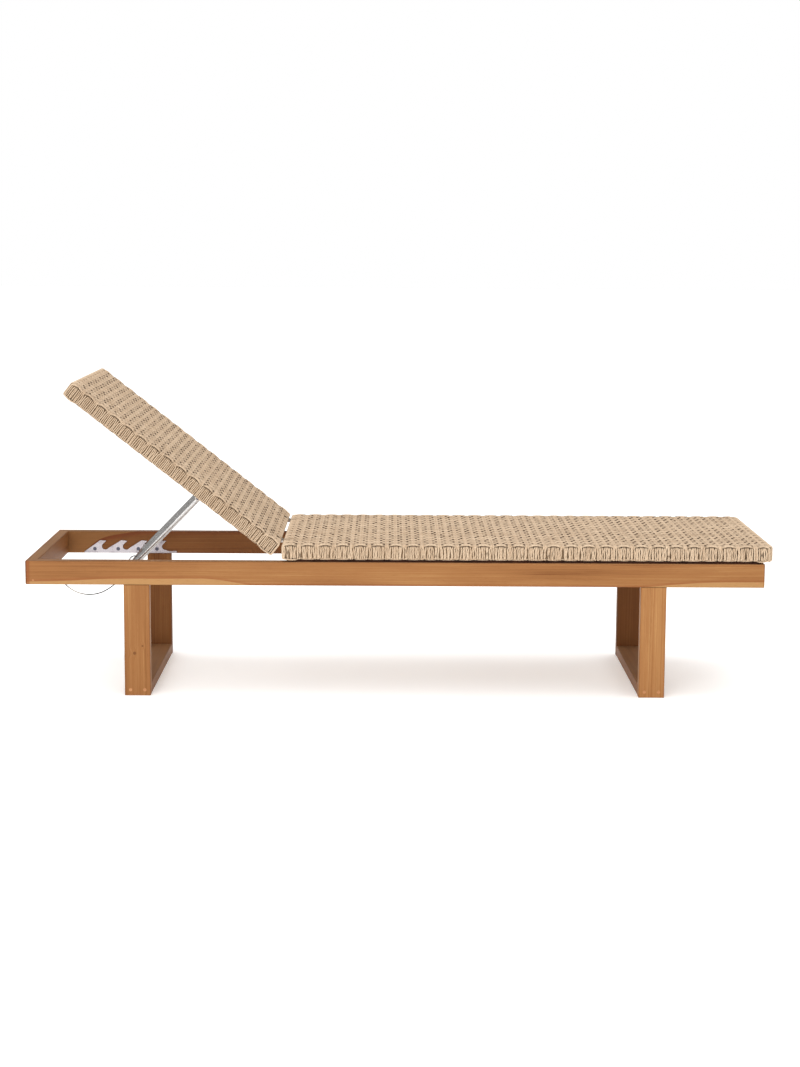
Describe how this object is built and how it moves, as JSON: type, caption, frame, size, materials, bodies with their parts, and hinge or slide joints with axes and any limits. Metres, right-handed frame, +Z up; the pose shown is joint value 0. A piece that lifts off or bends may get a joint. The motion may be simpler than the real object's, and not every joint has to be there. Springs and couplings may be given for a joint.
{
  "type": "sun lounger",
  "caption": "Low timber-framed sun lounger with a woven cord seat panel, a hinged backrest panel on a steel prop, toothed racks on the side rails and two U-shaped leg frames.",
  "frame": {"origin": "on the floor, below the middle of the lounger's overall length and width", "axes": "+X towards the foot end, +Y towards the far long side, +Z up"},
  "size_m": [2.017, 0.6, 0.8532],
  "materials": {
    "teak": "oiled, satin",
    "dowel_wood": "sanded flush",
    "woven_cord": "woven synthetic cord, matte",
    "tube_aluminium": "powder coated",
    "rack_steel": "bright stainless",
    "hinge_steel": "brushed stainless",
    "fastener_steel": "stainless",
    "prop_steel": "polished stainless",
    "cap_plastic": "moulded",
    "pad_rubber": "matte",
    "coated_wire": "sheathed cable"
  },
  "bodies": {
    "frame": {"side_rail_near": "teak", "side_rail_far": "teak", "head_rail": "teak", "foot_rail": "teak", "mitre_dowels": "dowel_wood", "corner_pins": "dowel_wood", "post_head_near": "teak", "post_head_far": "teak", "post_foot_near": "teak", "post_foot_far": "teak", "post_dowels": "dowel_wood", "stretcher_head": "teak", "stretcher_foot": "teak", "stretcher_dowels": "dowel_wood", "bearer_hinge": "teak", "bearer_middle": "teak", "bearer_dowels": "dowel_wood", "seat_frame": "tube_aluminium", "seat_weave": "woven_cord", "seat_bolts": "fastener_steel", "seat_pads": "pad_rubber", "rack_near": "rack_steel", "rack_far": "rack_steel", "rack_screws": "fastener_steel", "wire_anchor": "fastener_steel", "anchor_screw": "fastener_steel", "stop_wire": "coated_wire", "seat_hinge_near": "hinge_steel", "seat_hinge_far": "hinge_steel", "hinge_pins": "hinge_steel"},
    "backrest": {"backrest_frame": "tube_aluminium", "backrest_weave": "woven_cord", "backrest_pads": "pad_rubber", "back_hinge_near": "hinge_steel", "back_hinge_far": "hinge_steel", "prop_bracket_near": "hinge_steel", "prop_bracket_far": "hinge_steel", "bracket_screws": "fastener_steel", "prop_pivot_pins": "fastener_steel"},
    "prop": {"prop_leg_near": "prop_steel", "prop_leg_far": "prop_steel", "prop_crossbar": "prop_steel", "prop_end_caps": "cap_plastic"},
    "wire_end": {"wire_ferrule": "fastener_steel", "wire_loop": "coated_wire"}
  },
  "joints": [
    {"name": "backrest_hinge", "type": "hinge", "parent": "frame", "child": "backrest", "pos_m": [-0.3185, 0, 0.415], "axis": [0, 1, 0], "range_deg": [-38, 8]},
    {"name": "prop_pivot", "type": "hinge", "parent": "backrest", "child": "prop", "pos_m": [-0.55032, 0, 0.52759], "axis": [0, 1, 0], "range_deg": [-16.6, 78.4]},
    {"name": "wire_follow", "type": "slide", "parent": "frame", "child": "wire_end", "axis": [0.9974, 0, -0.0715], "range_m": [-0.105, 0.0222], "deforming": ["stop_wire", "wire_loop"]}
  ],
  "couplings": [
    {"joint": "prop_pivot", "follows": "backrest_hinge", "ratio": -2.06},
    {"joint": "wire_follow", "follows": "backrest_hinge", "m_per_rad": 0.15805}
  ]
}
